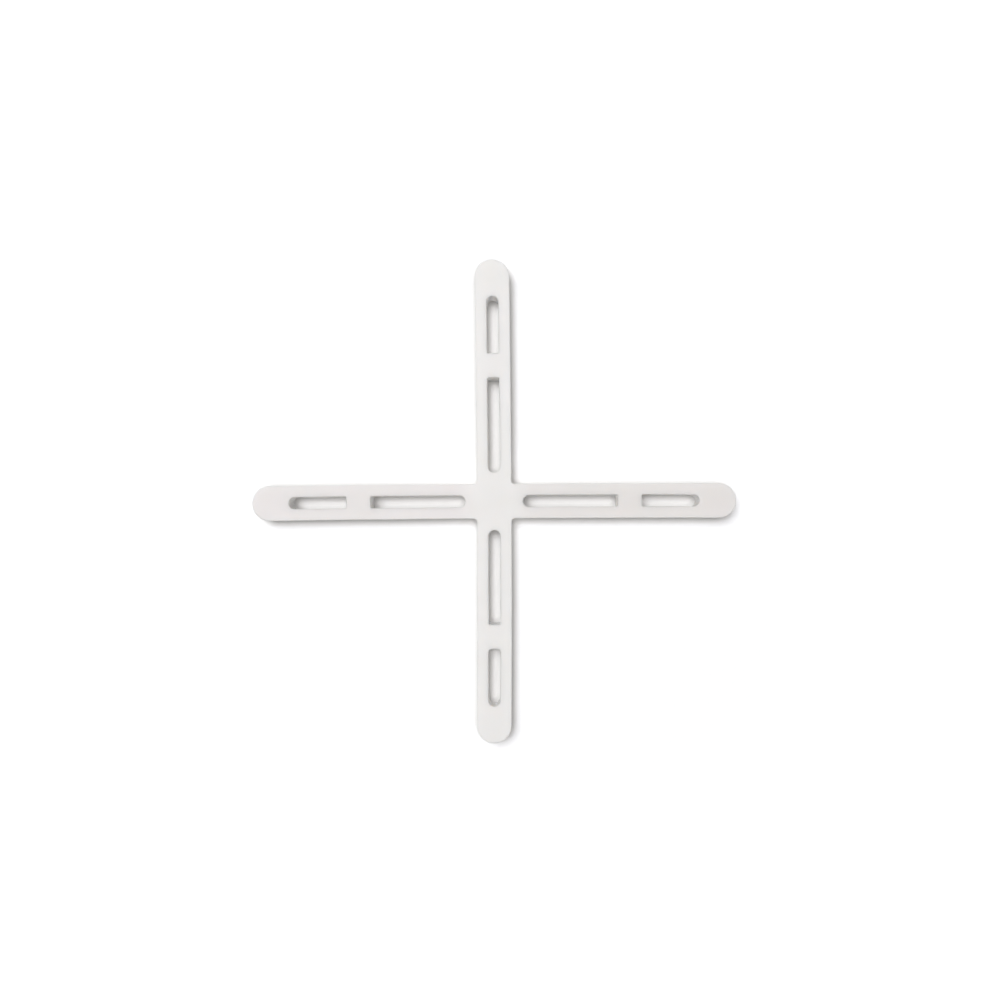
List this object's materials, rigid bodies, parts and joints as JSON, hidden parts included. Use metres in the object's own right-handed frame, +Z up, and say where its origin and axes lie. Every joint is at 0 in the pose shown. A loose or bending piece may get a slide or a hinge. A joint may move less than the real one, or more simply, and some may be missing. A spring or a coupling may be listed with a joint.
{
  "type": "tile spacer",
  "caption": "Flat plastic cross that keeps an even 5 mm joint between four tiles, with round-tipped arms and through slots in line along each arm.",
  "frame": {"origin": "centre of the hub on the underside, where the cross lies on the floor", "axes": "+Z up through the thickness, X and Y along the two pairs of arms"},
  "size_m": [0.07, 0.07, 0.004],
  "materials": {
    "spacer_cross": "off-white moulded plastic with a fine satin face"
  },
  "bodies": {
    "root": {"spacer_cross": "spacer_cross"}
  },
  "joints": []
}
